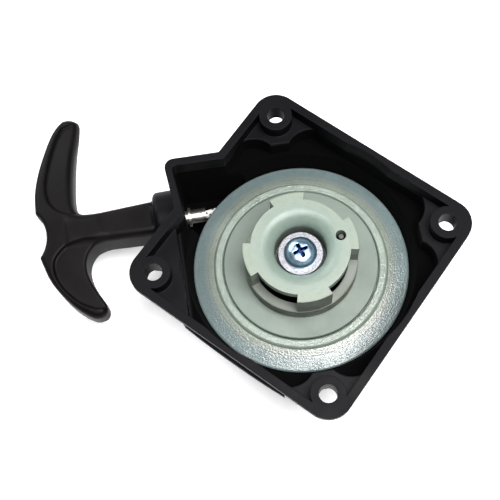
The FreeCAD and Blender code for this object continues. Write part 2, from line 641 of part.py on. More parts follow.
def make_knot_washer():
    """Small washer that the knot bears on."""
    start_x = KNOT_POCKET_END_X - KNOT_WASHER_T
    disc = tube_x(KNOT_POCKET_R - GAP, start_x, KNOT_POCKET_END_X)
    return one_solid(disc.cut(tube_x(ROPE_D / 2 + RUN_FIT, start_x - 1, KNOT_POCKET_END_X + 1)))


def spline(points):
    """Smooth curve through (x, y) points."""
    curve = Part.BSplineCurve()
    curve.interpolate([Vector(x, y, 0) for x, y in points])
    return curve.toShape()


def line(start, end):
    """Straight edge between two (x, y) points."""
    return Part.makeLine(Vector(start[0], start[1], 0), Vector(end[0], end[1], 0))


def handle_outline():
    """Swept-back crossbar with one arm longer than the other, a finger notch and the root of the stem."""
    root_high = (STEM_ROOT_LINE_X, ROPE_Y + STEM_ROOT_HALF_Y)
    root_low = (STEM_ROOT_LINE_X, ROPE_Y - STEM_ROOT_HALF_Y)
    long_arm = [(-85.0, 33.6), (-84.7, 41.0), (-83.1, 48.5), (-80.4, 56.5), (-77.4, 63.6),
                (-73.8, 68.2), (-70.3, 69.2), (-67.9, 67.4), (-68.2, 63.0), (-70.0, 55.0),
                (-71.4, 46.0), (-72.0, 38.5), (-71.5, 34.0), (-69.6, 31.6), (-66.4, 30.4), root_high]
    short_arm = [root_low, (-64.6, 20.4), (-67.2, 18.6), (-69.2, 15.8), (-69.9, 12.2), (-69.1, 7.9),
                 (-67.2, 3.4), (-65.0, -0.8), (-64.7, -3.4), (-66.4, -5.2), (-70.0, -4.9),
                 (-75.9, 0.2), (-81.7, 8.6), (-84.8, 17.8)]
    notch = Part.Arc(Vector(*short_arm[-1], 0), Vector(NOTCH_X, ROPE_Y, 0), Vector(*long_arm[0], 0))
    return Part.Wire([spline(long_arm), line(root_high, root_low), spline(short_arm), notch.toShape()])


def handle_slab():
    """Side profile of the crossbar: thickest in the middle, thinner towards both tips."""
    low_y, middle_y, high_y = HANDLE_Y_RANGE
    start_x = HANDLE_BEHIND_X
    edges = []
    for sign in (1, -1):
        tip_z = ROPE_Z + sign * HANDLE_TIP_HALF_T
        middle = Vector(start_x, middle_y, ROPE_Z + sign * HANDLE_HALF_T)
        face = Part.Arc(Vector(start_x, low_y, tip_z), middle, Vector(start_x, high_y, tip_z))
        edges.append(face.toShape())
    for y in (low_y, high_y):
        edges.append(Part.makeLine(Vector(start_x, y, ROPE_Z + HANDLE_TIP_HALF_T),
                                   Vector(start_x, y, ROPE_Z - HANDLE_TIP_HALF_T)))
    wire = Part.Wire(Part.__sortEdges__(edges))
    return Part.Face(wire).extrude(Vector(PLUG_END_X - start_x, 0, 0))


def handle_stem():
    """Tapered stem with rounded corners, ending in the round plug that sits in the outlet."""
    plan = [(STEM_ROOT_X, ROPE_Y - STEM_ROOT_HALF_W), (STEM_FACE_X, ROPE_Y - STEM_FACE_HALF_W),
            (STEM_FACE_X, ROPE_Y + STEM_FACE_HALF_W), (STEM_ROOT_X, ROPE_Y + STEM_ROOT_HALF_W)]
    corners = [Vector(x, y, 0) for x, y in plan + plan[:1]]
    stem = prism(Part.makePolygon(corners), ROPE_Z - STEM_HALF_T, ROPE_Z + STEM_HALF_T)
    stem = stem.makeFillet(STEM_CORNER_R, [e for e in stem.Edges if e.BoundBox.XLength > STEM_CORNER_R])
    return stem.fuse(tube_x(PLUG_R, STEM_FACE_X, PLUG_END_X))


def make_handle():
    """Tee handle with swept arms, a stem whose plug seats in the outlet, and a pocket for the knot."""
    behind = HANDLE_BEHIND_X
    bar = prism(handle_outline(), ROPE_Z - 2 * STEM_HALF_T, ROPE_Z + 2 * STEM_HALF_T)
    bar = bar.makeFillet(HANDLE_CORNER_R, upright_edges(bar))
    bar = one_solid(bar.common(handle_slab()))
    rims = [e for e in bar.Edges if abs(e.BoundBox.Center.z - ROPE_Z) > HANDLE_TIP_HALF_T / 2]
    bar = bar.makeFillet(HANDLE_EDGE_R, rims)
    body = bar.fuse(handle_stem())
    cuts = [tube_x(ROPE_D / 2 + ROPE_HOLE_FIT, behind, PLUG_END_X + 1),
            tube_x(KNOT_POCKET_R, behind, KNOT_POCKET_END_X)]
    return one_solid(body.cut(cuts))


NODES = {
    "housing": make_housing,
    "post_insert": make_post_insert,
    "rope_guide": make_rope_guide,
    "rewind_spring": make_rewind_spring,
    "reel": make_reel,
    "rope_coil": make_rope_coil,
    "reel_knot": make_reel_knot,
    "rope_lead": make_rope_lead,
    "assist_spring": make_assist_spring,
    "drive_cam": make_drive_cam,
    "retaining_washer": make_retaining_washer,
    "retaining_screw": make_retaining_screw,
    "rope_run": make_rope_run,
    "knot_washer": make_knot_washer,
    "handle_knot": make_handle_knot,
    "handle": make_handle,
}

os.makedirs("parts", exist_ok=True)
for name, make in NODES.items():
    part = make()
    if not part.isValid():
        raise RuntimeError(name + " is not a valid solid")
    part.exportStep("parts/" + name + ".step")
    box = part.optimalBoundingBox()
    print("%-17s %9.1f mm3  x %7.2f %7.2f  y %7.2f %7.2f  z %7.2f %7.2f" % (
        name, part.Volume, box.XMin, box.XMax, box.YMin, box.YMax, box.ZMin, box.ZMax))
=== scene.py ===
"""Looks of the recoil starter: rope, springs, screw and handle in detail, materials, light and camera."""
import math

import bpy
import numpy as np
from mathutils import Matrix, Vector


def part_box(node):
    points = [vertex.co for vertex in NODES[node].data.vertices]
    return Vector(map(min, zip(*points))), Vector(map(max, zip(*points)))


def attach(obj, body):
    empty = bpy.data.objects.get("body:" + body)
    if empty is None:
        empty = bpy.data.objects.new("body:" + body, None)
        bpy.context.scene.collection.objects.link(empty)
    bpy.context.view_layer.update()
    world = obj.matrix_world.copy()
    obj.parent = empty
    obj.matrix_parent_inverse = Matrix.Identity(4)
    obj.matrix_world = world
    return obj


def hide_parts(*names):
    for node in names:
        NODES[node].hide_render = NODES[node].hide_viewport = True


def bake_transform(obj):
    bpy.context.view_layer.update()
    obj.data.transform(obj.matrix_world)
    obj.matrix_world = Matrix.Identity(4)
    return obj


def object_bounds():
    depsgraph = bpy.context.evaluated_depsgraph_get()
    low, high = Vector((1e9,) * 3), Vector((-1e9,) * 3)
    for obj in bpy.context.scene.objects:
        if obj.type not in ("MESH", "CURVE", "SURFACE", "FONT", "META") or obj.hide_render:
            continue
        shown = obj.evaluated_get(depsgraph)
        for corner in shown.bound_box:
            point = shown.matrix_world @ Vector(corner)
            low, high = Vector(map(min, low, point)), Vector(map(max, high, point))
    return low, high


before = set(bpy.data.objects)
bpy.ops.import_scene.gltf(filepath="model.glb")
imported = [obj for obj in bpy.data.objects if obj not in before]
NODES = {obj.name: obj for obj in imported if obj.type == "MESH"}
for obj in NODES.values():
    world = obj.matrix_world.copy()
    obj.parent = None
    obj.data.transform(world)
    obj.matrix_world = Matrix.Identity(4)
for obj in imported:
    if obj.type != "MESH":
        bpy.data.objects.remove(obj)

CAD_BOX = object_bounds()
MM = 0.001


def box_mm(node):
    """Lowest and highest corner of a CAD node, in millimetres."""
    low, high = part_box(node)
    return np.array(low) / MM, np.array(high) / MM


# ---- places read from the frame, in millimetres ----------------------------------------------
RUN_LOW, RUN_HIGH = box_mm("rope_run")
LEAD_HIGH = box_mm("rope_lead")[1]
HANDLE_LOW, HANDLE_HIGH = box_mm("handle")
SCREW_LOW, SCREW_HIGH = box_mm("retaining_screw")
SPRING_LOW, SPRING_HIGH = box_mm("assist_spring")
COIL_LOW, COIL_HIGH = box_mm("rope_coil")
REEL_KNOT_LOW, REEL_KNOT_HIGH = box_mm("reel_knot")
HANDLE_KNOT_LOW, HANDLE_KNOT_HIGH = box_mm("handle_knot")
WASHER_TOP_Z = box_mm("retaining_washer")[1][2]
GUIDE_END_X = box_mm("rope_guide")[1][0]
ROPE_Y = (RUN_LOW[1] + RUN_HIGH[1]) / 2
ROPE_Z = (RUN_LOW[2] + RUN_HIGH[2]) / 2
ROPE_R = (RUN_HIGH[2] - RUN_LOW[2]) / 2

# ---- rope, in millimetres --------------------------------------------------------------------
DRUM_R = 20.0                   # the reel's drum under the wound rope
PULLED_TURNS = 5                # whole turns that the pull takes off; the rest stays on with the knot
LAYER_CLIMB_TURNS = 0.25        # part of a turn in which the rope climbs from one layer to the next
RUN_SHORTER = 1.5               # how far short of its CAD node's end the run stops
RUN_RINGS = 90
POINTS_PER_TURN = 64
WOUND_R = ROPE_R * 0.97
RUN_R = ROPE_R * 0.99
KNOT_ROPE_R = 0.95              # the rope pulled thin in its knots
LEAD_IN_GUIDE = 3.0             # how far inside the guide the lead starts
LEAD_PAST_GUIDE = 0.3           # how far past the guide it stays in line with it
LEAD_SHORTER = ROPE_R * 0.2     # how far short of its CAD node's end the lead stops
STRANDS = 8                     # strands each way of the braid
BRAID_PITCH = 9.0
BRAID_STEP = 0.36               # distance between the rings of points along a strand
STRAND_HALF_THICK = 0.2
STRAND_HALF_WIDE = 0.36
STRAND_SIDES = 8
STRAND_LAP = 0.13               # how far a strand rises and dips where it crosses others
CORE_SMALLER = 0.05             # core's radius under the middle of the strands
TRACERS = (0, 3)                # which strands of one way are dark

# ---- camera: its place in metres, its turn in degrees, lens and sensor in millimetres --------
CAMERA_PLACE = (-0.01617, -0.09382, 0.27129)
CAMERA_TURN_DEG = (19.175, 3.056, -9.118)
CAMERA_LENS = 67.18
SENSOR_WIDTH = 36.0

# ---- handle, in millimetres ------------------------------------------------------------------
LONG_ARM = [(-85.0, 33.6), (-84.7, 41.0), (-83.1, 48.5), (-80.4, 56.5), (-77.4, 63.6),
            (-73.8, 68.2), (-70.3, 69.2), (-67.9, 67.4), (-68.2, 63.0), (-70.0, 55.0),
            (-71.4, 46.0), (-72.0, 38.5), (-71.5, 34.0), (-69.6, 31.6), (-66.4, 30.4), (-62.0, 29.1)]
SHORT_ARM = [(-62.0, 21.9), (-64.6, 20.4), (-67.2, 18.6), (-69.2, 15.8), (-69.9, 12.2), (-69.1, 7.9),
             (-67.2, 3.4), (-65.0, -0.8), (-64.7, -3.4), (-66.4, -5.2), (-70.0, -4.9),
             (-75.9, 0.2), (-81.7, 8.6), (-84.8, 17.8)]
NOTCH_X = -81.9
LONG_PANEL = [(-68.0, 30.6), (-73.6, 31.4), (-77.6, 33.5), (-80.2, 37.2), (-80.8, 43.1), (-79.4, 50.5),
              (-76.9, 58.5), (-74.4, 64.0), (-71.6, 66.2), (-60.0, 66.0), (-60.0, 31.0)]
SHORT_PANEL = [(-69.4, 22.2), (-75.1, 20.7), (-79.2, 17.2), (-80.4, 13.6), (-79.2, 8.0),
               (-75.4, 2.6), (-71.0, -1.0), (-66.0, -2.6), (-60.0, -1.0), (-60.0, 21.0)]
PANEL_DEPTH = 1.2
HANDLE_HALF_T = 6.8
HANDLE_TIP_HALF_T = 3.7
HANDLE_MIDDLE_Y = 29.0
SPINE_X = -77.5                 # middle line of the swept arms
SPINE_SWEEP = 0.004
HANDLE_OUTER_ROUND = 1.5
HANDLE_INNER_ROUND = 4.3        # the long arm's edge towards the housing rolls over more gently
SHORT_ARM_ROUND = 2.2
HANDLE_TAPER = 1.6              # how far the long arm's outline draws in under the middle plane
ARM_CHANGE = 6.0                # width over which one arm's shape gives way to the other's
EDGE_CHANGE = 4.0               # width over which the outer edge's rounding gives way to the inner's
PANEL_FLOOR_ROUND = 0.5
PANEL_RIM_ROUND = 0.6
STEM_TIP_X = HANDLE_HIGH[0]
STEM_FACE_X = -45.5             # shoulder that meets the outlet's boss
STEM_ROOT_X = -74.0
STEM_ROOT_HALF_W = 4.7
STEM_FACE_HALF_W = 6.1
STEM_HALF_T = 6.7
STEM_CORNER_R = 2.6
STEM_END_ROUND = 0.8
STEM_FILLET = 2.0               # where the stem grows out of the crossbar
STEM_PLUG_R = 7.6
PLUG_IN_STEM = 0.5
PLUG_EDGE_ROUND = 0.4
PLUG_FILLET = 0.3
KNOT_POCKET_END_X = -72.5
KNOT_POCKET_R = 4.6
KNOT_POCKET_ROUND = 0.5
ROPE_BORE_GAP = 0.4             # between the rope and its bore in the stem


# ---- mesh helpers ----------------------------------------------------------------------------
def make_piece(name, points_mm, faces, materials, face_material=None):
    """Smooth-shaded piece from points in millimetres, with no parent yet."""
    mesh = bpy.data.meshes.new(name)
    mesh.from_pydata((np.asarray(points_mm) * MM).tolist(), [], [tuple(map(int, f)) for f in faces])
    mesh.shade_smooth()
    for material in materials:
        mesh.materials.append(material)
    if face_material is not None:
        mesh.polygons.foreach_set("material_index", np.asarray(face_material, dtype=np.int32))
    mesh.update()
    piece = bpy.data.objects.new(name, mesh)
    bpy.context.scene.collection.objects.link(piece)
    return piece


def frames_along(path):
    """Tangent and two steady cross directions at every point of a path."""
    path = np.asarray(path, float)
    tangent = np.gradient(path, axis=0)
    tangent /= np.linalg.norm(tangent, axis=1)[:, None]
    first = np.cross(tangent[0], (0.0, 0.0, 1.0))
    nearly_upright = np.linalg.norm(first) < 0.1
    if nearly_upright:
        first = np.cross(tangent[0], (1.0, 0.0, 0.0))
    sides = [first / np.linalg.norm(first)]
    for t in tangent[1:]:
        side = sides[-1] - t * np.dot(sides[-1], t)
        sides.append(side / np.linalg.norm(side))
    sides = np.array(sides)
    return tangent, sides, np.cross(tangent, sides)


def ring_faces(rings, sides):
    """Faces between neighbouring rings of points, and a cap at each end."""
    faces = []
    for row in range(rings - 1):
        for k in range(sides):
            n = (k + 1) % sides
            faces.append((row * sides + k, row * sides + n, (row + 1) * sides + n, (row + 1) * sides + k))
    last = (rings - 1) * sides
    faces.append(tuple(range(sides - 1, -1, -1)))
    faces.append(tuple(last + k for k in range(sides)))
    return faces


def tube(path, radius, sides):
    """Closed round tube along a path; radius is one number or one for each point."""
    path = np.asarray(path, float)
    _, u, v = frames_along(path)
    radius = np.broadcast_to(radius, len(path))
    angle = np.linspace(0, 2 * math.pi, sides, endpoint=False)
    ring = u[:, None] * np.cos(angle)[:, None] + v[:, None] * np.sin(angle)[:, None]
    points = (path[:, None] + ring * radius[:, None, None]).reshape(-1, 3)
    return points, ring_faces(len(path), sides)


def join_meshes(parts):
    """Points and faces of several meshes as one."""
    points, faces, base = [], [], 0
    for part_points, part_faces in parts:
        points.append(part_points)
        faces += [tuple(i + base for i in face) for face in part_faces]
        base += len(part_points)
    return np.concatenate(points), faces


def surface_net(field, low, high, step):
    """Points and quads of a field's zero surface, drawn onto it after one point is set in each cell."""
    axes = [np.arange(a, b + step, step) for a, b in zip(low, high)]
    value = field(axes[0][:, None, None], axes[1][None, :, None], axes[2][None, None, :])
    cells = tuple(n - 1 for n in value.shape)
    total = np.zeros((np.prod(cells), 3))
    count = np.zeros(np.prod(cells))
    quads = []
    for axis in range(3):
        before = value.take(range(value.shape[axis] - 1), axis)
        after = value.take(range(1, value.shape[axis]), axis)
        place = np.argwhere((before < 0) != (after < 0))
        at = tuple(place.T)
        point = place.astype(float)
        point[:, axis] += before[at] / (before[at] - after[at])
        across, along = (axis + 1) % 3, (axis + 2) % 3
        ring = []
        for step_across, step_along in ((0, 0), (-1, 0), (-1, -1), (0, -1)):
            cell = place.copy()
            cell[:, across] += step_across
            cell[:, along] += step_along
            index = np.ravel_multi_index(tuple(cell.T), cells)
            np.add.at(total, index, point)
            np.add.at(count, index, 1)
            ring.append(index)
        quad = np.stack(ring, 1)
        backward = before[at] >= 0
        quad[backward] = quad[backward][:, ::-1]
        quads.append(quad)
    quads = np.concatenate(quads)
    used, quads = np.unique(quads, return_inverse=True)
    points = total[used] / count[used][:, None] * step + np.array([axis[0] for axis in axes])
    probe = 0.02                # distance over which the slope is measured
    flattest = 0.2              # a squared slope under this would send a point too far
    for _ in range(2):
        here = field(*points.T)
        slope = np.stack([field(*(points + probe * unit).T) - here for unit in np.eye(3)], 1) / probe
        move = here / np.maximum((slope ** 2).sum(1), flattest)
        points -= slope * np.clip(move, -step / 2, step / 2)[:, None]
    return points, quads.reshape(-1, 4)


def net_in_box(field, low, high, margin, step):
    """Surface net of a field, looked for in a box with a margin round it and kept inside the box."""
    points, faces = surface_net(field, low - margin, high + margin, step)
    return np.clip(points, low, high), faces


def smooth_max(a, b, k):
    """Larger of two fields with their corner rounded over k."""
    h = np.clip(k - np.abs(a - b), 0, None) / k
    return np.maximum(a, b) + h * h * k / 4


def smooth_min(a, b, k):
    """Smaller of two fields with their corner rounded over k."""
    return -smooth_max(-a, -b, k)


def round_corner(a, b, radius):
    """Larger of two fields with a circular round of the given radius on their corner."""
    a, b = a + radius, b + radius
    return np.hypot(np.maximum(a, 0), np.maximum(b, 0)) + np.minimum(np.maximum(a, b), 0) - radius


def curve_through(points, per_span=8):
    """Smooth open curve through (x, y) points."""
    p = np.asarray(points, float)
    p = np.concatenate([[2 * p[0] - p[1]], p, [2 * p[-1] - p[-2]]])
    result = []
    for a, b, c, d in zip(p, p[1:], p[2:], p[3:]):
        for t in np.linspace(0, 1, per_span, endpoint=False):
            result.append(0.5 * (2 * b + (c - a) * t + (2 * a - 5 * b + 4 * c - d) * t ** 2
                                 + (3 * b - a - 3 * c + d) * t ** 3))
    result.append(p[-2])
    return np.array(result)


def outline_distance(outline, x, y):
    """Signed distance from an outline in the x, y plane, negative inside."""
    x, y = np.broadcast_arrays(x, y)
    nearest = np.full(x.shape, np.inf)
    inside = np.zeros(x.shape, bool)
    for (ax, ay), (bx, by) in zip(outline, np.roll(outline, -1, axis=0)):
        dx, dy = bx - ax, by - ay
        length_squared = dx * dx + dy * dy
        same_point = length_squared < 1e-12
        if same_point:
            continue
        t = np.clip(((x - ax) * dx + (y - ay) * dy) / length_squared, 0, 1)
        nearest = np.minimum(nearest, (x - ax - t * dx) ** 2 + (y - ay - t * dy) ** 2)
        if ay != by:
            crosses = ((ay > y) != (by > y)) & (x < (bx - ax) * (y - ay) / (by - ay) + ax)
            inside ^= crosses
    return np.where(inside, -1, 1) * np.sqrt(nearest)


# ---- handle ----------------------------------------------------------------------------------
def arc_through(start, middle, end, count=12):
    """Points of the circular arc through three (x, y) points, without its ends."""
    (ax, ay), (bx, by), (cx, cy) = start, middle, end
    d = 2 * (ax * (by - cy) + bx * (cy - ay) + cx * (ay - by))
    ux = ((ax**2 + ay**2) * (by - cy) + (bx**2 + by**2) * (cy - ay) + (cx**2 + cy**2) * (ay - by)) / d
    uy = ((ax**2 + ay**2) * (cx - bx) + (bx**2 + by**2) * (ax - cx) + (cx**2 + cy**2) * (bx - ax)) / d
    radius = math.hypot(ax - ux, ay - uy)
    first = math.atan2(ay - uy, ax - ux)
    last = math.atan2(cy - uy, cx - ux)
    turn = (last - first + math.pi) % (2 * math.pi) - math.pi
    angles = first + turn * np.linspace(0, 1, count + 2)[1:-1]
    return np.stack([ux + radius * np.cos(angles), uy + radius * np.sin(angles)], 1)


CROSSBAR = np.concatenate([curve_through(LONG_ARM), curve_through(SHORT_ARM),
                           arc_through(SHORT_ARM[-1], (NOTCH_X, ROPE_Y), LONG_ARM[0])])
PANELS = [curve_through(LONG_PANEL, 4), curve_through(SHORT_PANEL, 4)]


def crossbar_field(x, y, up, across):
    """Swept arms that get thinner towards their tips, with a sunk panel on each face of each arm."""
    reach = (HANDLE_HIGH[1] - HANDLE_LOW[1]) / 2
    thin = np.clip(np.abs(y - HANDLE_MIDDLE_Y) / reach, 0, 1.1) ** 2
    half = HANDLE_HALF_T - (HANDLE_HALF_T - HANDLE_TIP_HALF_T) * thin
    depth = np.clip(-up / half, 0, 1)
    on_long = np.clip(across / ARM_CHANGE + 0.5, 0, 1)
    side = outline_distance(CROSSBAR, x, y) + HANDLE_TAPER * on_long * depth ** 2
    face = np.abs(up) - half
    spine_x = SPINE_X + SPINE_SWEEP * (y - HANDLE_MIDDLE_Y) ** 2
    inner = np.clip((x - spine_x) / EDGE_CHANGE + 0.5, 0, 1)
    inner_round = SHORT_ARM_ROUND + (HANDLE_INNER_ROUND - SHORT_ARM_ROUND) * on_long
    bar = round_corner(side, face, HANDLE_OUTER_ROUND + (inner_round - HANDLE_OUTER_ROUND) * inner)
    for panel in PANELS:
        floor = half - PANEL_DEPTH - np.abs(up)
        sunk = smooth_max(outline_distance(panel, x, y), floor, PANEL_FLOOR_ROUND)
        bar = smooth_max(bar, -sunk, PANEL_RIM_ROUND)
    return bar


def stem_field(x, up, across):
    """Bar with rounded corners that widens from the crossbar to the shoulder at the outlet's boss."""
    widen = np.clip((x - STEM_ROOT_X) / (STEM_FACE_X - STEM_ROOT_X), 0, 1)
    wide = STEM_ROOT_HALF_W + (STEM_FACE_HALF_W - STEM_ROOT_HALF_W) * widen
    stem = round_corner(np.abs(across) - wide, np.abs(up) - STEM_HALF_T, STEM_CORNER_R)
    return smooth_max(stem, np.maximum(x - STEM_FACE_X, STEM_ROOT_X - x), STEM_END_ROUND)


def handle_field(x, y, z):
    """The handle's moulding: crossbar, stem and plug, less the rope's bore and the knot's pocket."""
    up = z - ROPE_Z
    across = y - ROPE_Y
    body = smooth_min(crossbar_field(x, y, up, across), stem_field(x, up, across), STEM_FILLET)
    radius = np.hypot(across, up)
    plug_ends = np.maximum(x - STEM_TIP_X, STEM_FACE_X - PLUG_IN_STEM - x)
    body = smooth_min(body, smooth_max(radius - STEM_PLUG_R, plug_ends, PLUG_EDGE_ROUND), PLUG_FILLET)
    body = np.maximum(body, -(radius - ROPE_R - ROPE_BORE_GAP))
    pocket = np.maximum(radius - KNOT_POCKET_R, x - KNOT_POCKET_END_X)
    return smooth_max(body, -pocket, KNOT_POCKET_ROUND)


def add_handle(material):
    """Tee handle as one smooth moulding."""
    points, faces = net_in_box(handle_field, HANDLE_LOW, HANDLE_HIGH, margin=1.0, step=0.45)
    piece = make_piece("handle_moulding", points, faces, [material])
    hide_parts("handle")
    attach(piece, "handle")


# ---- screw, in millimetres -------------------------------------------------------------------
SCREW_R = 2.5
THREAD_PITCH = 0.8
THREAD_DEPTH = 0.42
THREAD_RUN_IN = 0.5             # length over which the thread reaches its depth
PLAIN_SHANK = 2.2               # length under the head without a thread
TIP_CHAMFER = 1.0
SHANK_IN_HEAD = 0.5
HEAD_R = SCREW_HIGH[0]
HEAD_SIDE_H = 1.1
CROWN_R = 1.8                   # flat middle of the head's top
HEAD_EDGE_ROUND = 0.4
CROSS_TURN = math.radians(18)
CROSS_DEPTH = 1.9
CROSS_HALF_WIDTH = 0.56         # at the head's top; the cross gets narrower and shorter with depth
CROSS_HALF_LENGTH = 2.5
CROSS_NARROWING = 0.13
CROSS_SHORTENING = 0.5
CROSS_CORE_R = 0.95             # cone in the middle of the cross
CROSS_CORE_TAPER = 0.3
CROSS_ARM_ROUND = 0.3
CROSS_CORE_ROUND = 0.2
CROSS_RIM_ROUND = 0.12
RECESS_BELOW_DOME = 0.28        # a face deeper than this under the dome is part of the recess
RECESS_PAST_CROSS = 0.2         # how far past the cross's ends such a face may lie


def dome_height(radius):
    """Height of the screw head's rounded top."""
    run, drop = HEAD_R - CROWN_R, SCREW_HIGH[2] - WASHER_TOP_Z - HEAD_SIDE_H
    bend = (run ** 2 + drop ** 2) / (2 * drop)
    beyond = np.clip(radius - CROWN_R, 0, bend * 0.98)
    return SCREW_HIGH[2] - bend + np.sqrt(bend ** 2 - beyond ** 2)


def cross_field(x, y, down):
    """Tapered cross recess with a cone in its middle; down is the depth under the head's top."""
    c, s = math.cos(CROSS_TURN), math.sin(CROSS_TURN)
    u, v = np.abs(x * c + y * s), np.abs(y * c - x * s)
    wide = CROSS_HALF_WIDTH - CROSS_NARROWING * down
    long = CROSS_HALF_LENGTH - CROSS_SHORTENING * down
    one = smooth_max(u - long, v - wide, CROSS_ARM_ROUND)
    other = smooth_max(v - long, u - wide, CROSS_ARM_ROUND)
    core = np.hypot(x, y) - (CROSS_CORE_R - CROSS_CORE_TAPER * down)
    return np.maximum(smooth_min(np.minimum(one, other), core, CROSS_CORE_ROUND), down - CROSS_DEPTH)


def screw_field(x, y, z):
    """Pan-head screw: rounded head, cross recess and a cut thread."""
    radius = np.hypot(x, y)
    top, seat = SCREW_HIGH[2], WASHER_TOP_Z
    dome = z - dome_height(radius)
    head = smooth_max(np.maximum(radius - HEAD_R, seat - z), dome, HEAD_EDGE_ROUND)
    head = smooth_max(head, -cross_field(x, y, top - z), CROSS_RIM_ROUND)
    turn = np.arctan2(y, x) / (2 * math.pi) + z / THREAD_PITCH
    groove = THREAD_DEPTH * np.abs(2 * (turn - np.floor(turn)) - 1)
    cut = groove * np.clip((seat - PLAIN_SHANK - z) / THREAD_RUN_IN, 0, 1)
    tip = SCREW_R - np.clip(SCREW_LOW[2] + TIP_CHAMFER - z, 0, TIP_CHAMFER)
    ends = np.maximum(SCREW_LOW[2] - z, z - seat - SHANK_IN_HEAD)
    shank = np.maximum(radius - np.minimum(SCREW_R - cut, tip), ends)
    steepness = 0.8             # evens out the steeper field on the thread's flanks
    return np.minimum(head, shank * steepness)


def add_screw(material, recess_shade_material):
    """Screw head and shank; what lies below the dome inside the cross gets a darker zinc, painted shade."""
    points, faces = net_in_box(screw_field, SCREW_LOW, SCREW_HIGH, margin=0.3, step=0.13)
    middle = points[faces].mean(1)
    radius = np.hypot(middle[:, 0], middle[:, 1])
    sunk = dome_height(radius) - middle[:, 2] > RECESS_BELOW_DOME
    sunk &= radius < CROSS_HALF_LENGTH + RECESS_PAST_CROSS
    sunk &= middle[:, 2] > WASHER_TOP_Z
    piece = make_piece("screw_cut", points, faces, [material, recess_shade_material], sunk)
    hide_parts("retaining_screw")
    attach(piece, "housing")


# ---- springs, in millimetres -----------------------------------------------------------------
WIRE_R = 0.9
WIRE_SIDES = 14
SPRING_COILS = 12
SPRING_PITCH = 1.85
SPRING_GAP = 0.02               # between the coils and the CAD node's box
POINTS_PER_COIL = 56
HOOK_DEG = 6.0                  # where the hook stands about the axis
HOOK_BEND_R = 1.8
HOOK_END_BELOW = 0.7            # from the CAD node's top to the chamfer on the hook's cut end
HOOK_CHAMFER = 0.12


def add_assist_spring(material, shaded_cut_material):
    """Torsion spring whose upper end bends up through the hole in the cam's rim."""
    mean_r = SPRING_HIGH[0] - WIRE_R - SPRING_GAP
    bottom = SPRING_LOW[2] + WIRE_R
    top = SPRING_LOW[2] + SPRING_COILS * SPRING_PITCH - WIRE_R
    turns = (top - bottom) / SPRING_PITCH
    last = math.radians(HOOK_DEG) - HOOK_BEND_R / mean_r
    angles = np.linspace(last - 2 * math.pi * turns, last, int(turns * POINTS_PER_COIL))
    height = np.linspace(bottom, top, len(angles))
    path = [(mean_r * math.cos(a), mean_r * math.sin(a), z) for a, z in zip(angles, height)]
    across = np.array((-math.sin(last), math.cos(last), 0.0))
    corner = np.array(path[-1])
    for t in np.linspace(0, math.pi / 2, 9)[1:]:
        rise = np.array((0, 0, HOOK_BEND_R * (1 - math.cos(t))))
        path.append(tuple(corner + across * HOOK_BEND_R * math.sin(t) + rise))
    foot = np.array(path[-1])
    end_z = SPRING_HIGH[2] - HOOK_END_BELOW
    for z in np.linspace(foot[2], end_z, 9)[1:]:
        path.append((foot[0], foot[1], z))
    path.append((foot[0], foot[1], end_z + HOOK_CHAMFER))
    radius = np.full(len(path), WIRE_R)
    radius[-1] = WIRE_R - HOOK_CHAMFER
    points, faces = tube(path, radius, WIRE_SIDES)
    points = np.clip(points, SPRING_LOW, SPRING_HIGH)
    cut_end = [0] * (len(faces) - 1) + [1]
    piece = make_piece("assist_spring_wire", points, faces, [material, shaded_cut_material], cut_end)
    piece.data.polygons[-1].use_smooth = False
    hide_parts("assist_spring")
    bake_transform(piece)


# ---- rope ------------------------------------------------------------------------------------
def braid(path):
    """Round braid along a path: strands each way over a core, passing over and under one another."""
    path = np.asarray(path, float)
    steps = np.linalg.norm(np.diff(path, axis=0), axis=1)
    run = np.concatenate([[0], np.cumsum(steps)])
    tangent, u, v = frames_along(path)
    middle = ROPE_R - STRAND_LAP - STRAND_HALF_THICK
    section = np.linspace(0, 2 * math.pi, STRAND_SIDES, endpoint=False)
    parts, colours = [], []
    for way in (1, -1):
        for index in range(STRANDS):
            angle = way * 2 * math.pi * run / BRAID_PITCH + 2 * math.pi * index / STRANDS
            reach = middle + way * STRAND_LAP * np.cos(2 * math.pi * STRANDS * run / BRAID_PITCH)
            out = u * np.cos(angle)[:, None] + v * np.sin(angle)[:, None]
            turn = np.cross(tangent, out)
            slope = math.atan(2 * math.pi * middle / BRAID_PITCH) * way
            wide_way = turn * math.cos(slope) - tangent * math.sin(slope)
            centre = path + out * reach[:, None]
            points = (centre[:, None] + wide_way[:, None] * (STRAND_HALF_WIDE * np.cos(section))[:, None]
                      + out[:, None] * (STRAND_HALF_THICK * np.sin(section))[:, None]).reshape(-1, 3)
            faces = ring_faces(len(path), STRAND_SIDES)
            parts.append((points, faces))
            colours += [int(way == 1 and index in TRACERS)] * len(faces)
    core = tube(path, middle - CORE_SMALLER, sides=12)
    parts.append(core)
    colours += [0] * len(core[1])
    points, faces = join_meshes(parts)
    return points, faces, colours


def rope_lead_path():
    """From inside the guide, in line with it, and straight to where the rope meets the wound turns."""
    start = np.array((GUIDE_END_X - LEAD_IN_GUIDE, ROPE_Y, ROPE_Z))
    exit_point = np.array((GUIDE_END_X + LEAD_PAST_GUIDE, ROPE_Y, ROPE_Z))
    end = np.array((LEAD_HIGH[0] - LEAD_SHORTER, LEAD_HIGH[1] - ROPE_R, LEAD_HIGH[2] - ROPE_R))
    straight = [start + (exit_point - start) * t for t in np.linspace(0, 1, 9)]
    count = int(np.linalg.norm(end - exit_point) / BRAID_STEP)
    return np.array(straight + [exit_point + (end - exit_point) * t for t in np.linspace(0, 1, count)[1:]])


def add_rope_lead(white, dark):
    """Braided stretch between the reel and the guide."""
    points, faces, colours = braid(rope_lead_path())
    lead = make_piece("rope_lead_braid", points, faces, [white, dark], colours)
    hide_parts("rope_lead")
    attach(lead, "housing")


